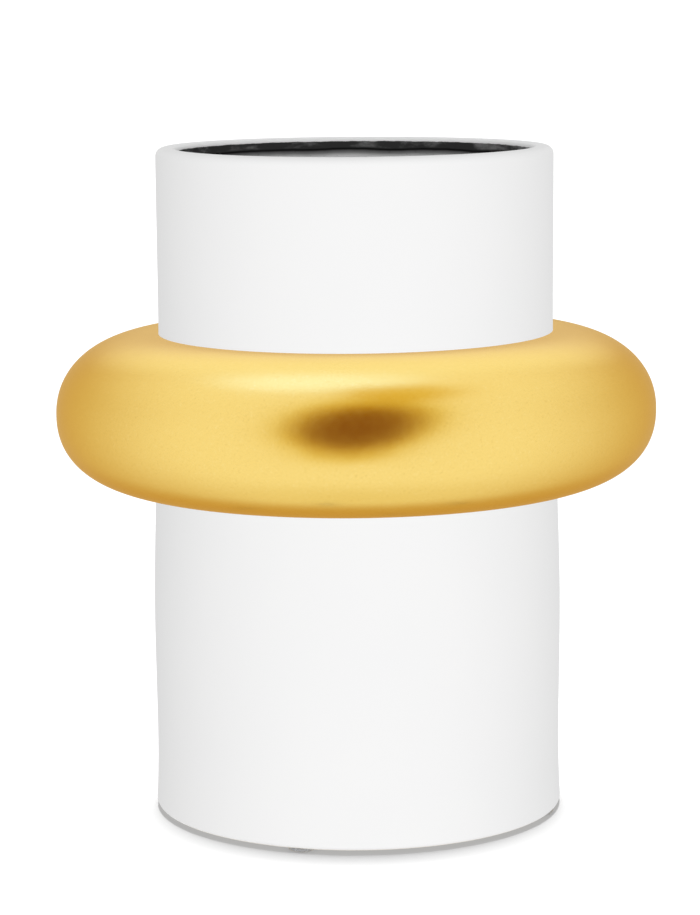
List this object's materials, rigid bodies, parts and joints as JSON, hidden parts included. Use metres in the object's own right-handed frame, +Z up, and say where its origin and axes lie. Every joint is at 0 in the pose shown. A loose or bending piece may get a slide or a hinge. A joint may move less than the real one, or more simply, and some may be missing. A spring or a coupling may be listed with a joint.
{
  "type": "vase",
  "caption": "Straight white porcelain vase with a thick rounded lip and a fat satin gold ring round its middle, standing on clear bumper pads.",
  "frame": {"origin": "on the vase's axis, at the level of the surface it stands on", "axes": "+Z up along the axis towards the mouth, -Y towards the front, +X to the right seen from the front"},
  "size_m": [0.2206, 0.2206, 0.2455],
  "materials": {
    "porcelain": "satin white glaze outside and over the lip, dark grey glaze inside, bare clay under the foot",
    "gold_lustre": "satin gold lacquer with fine flecks, on a hollow ceramic ring",
    "adhesive": "set epoxy, hidden inside",
    "pad_rubber": "translucent grey, smooth"
  },
  "bodies": {
    "root": {"vase_body": "porcelain", "gold_ring": "gold_lustre", "ring_bond_bed": "adhesive", "ring_bond_bead": "adhesive", "foot_pad_right": "pad_rubber", "foot_pad_back": "pad_rubber", "foot_pad_left": "pad_rubber", "foot_pad_front": "pad_rubber"}
  },
  "joints": []
}
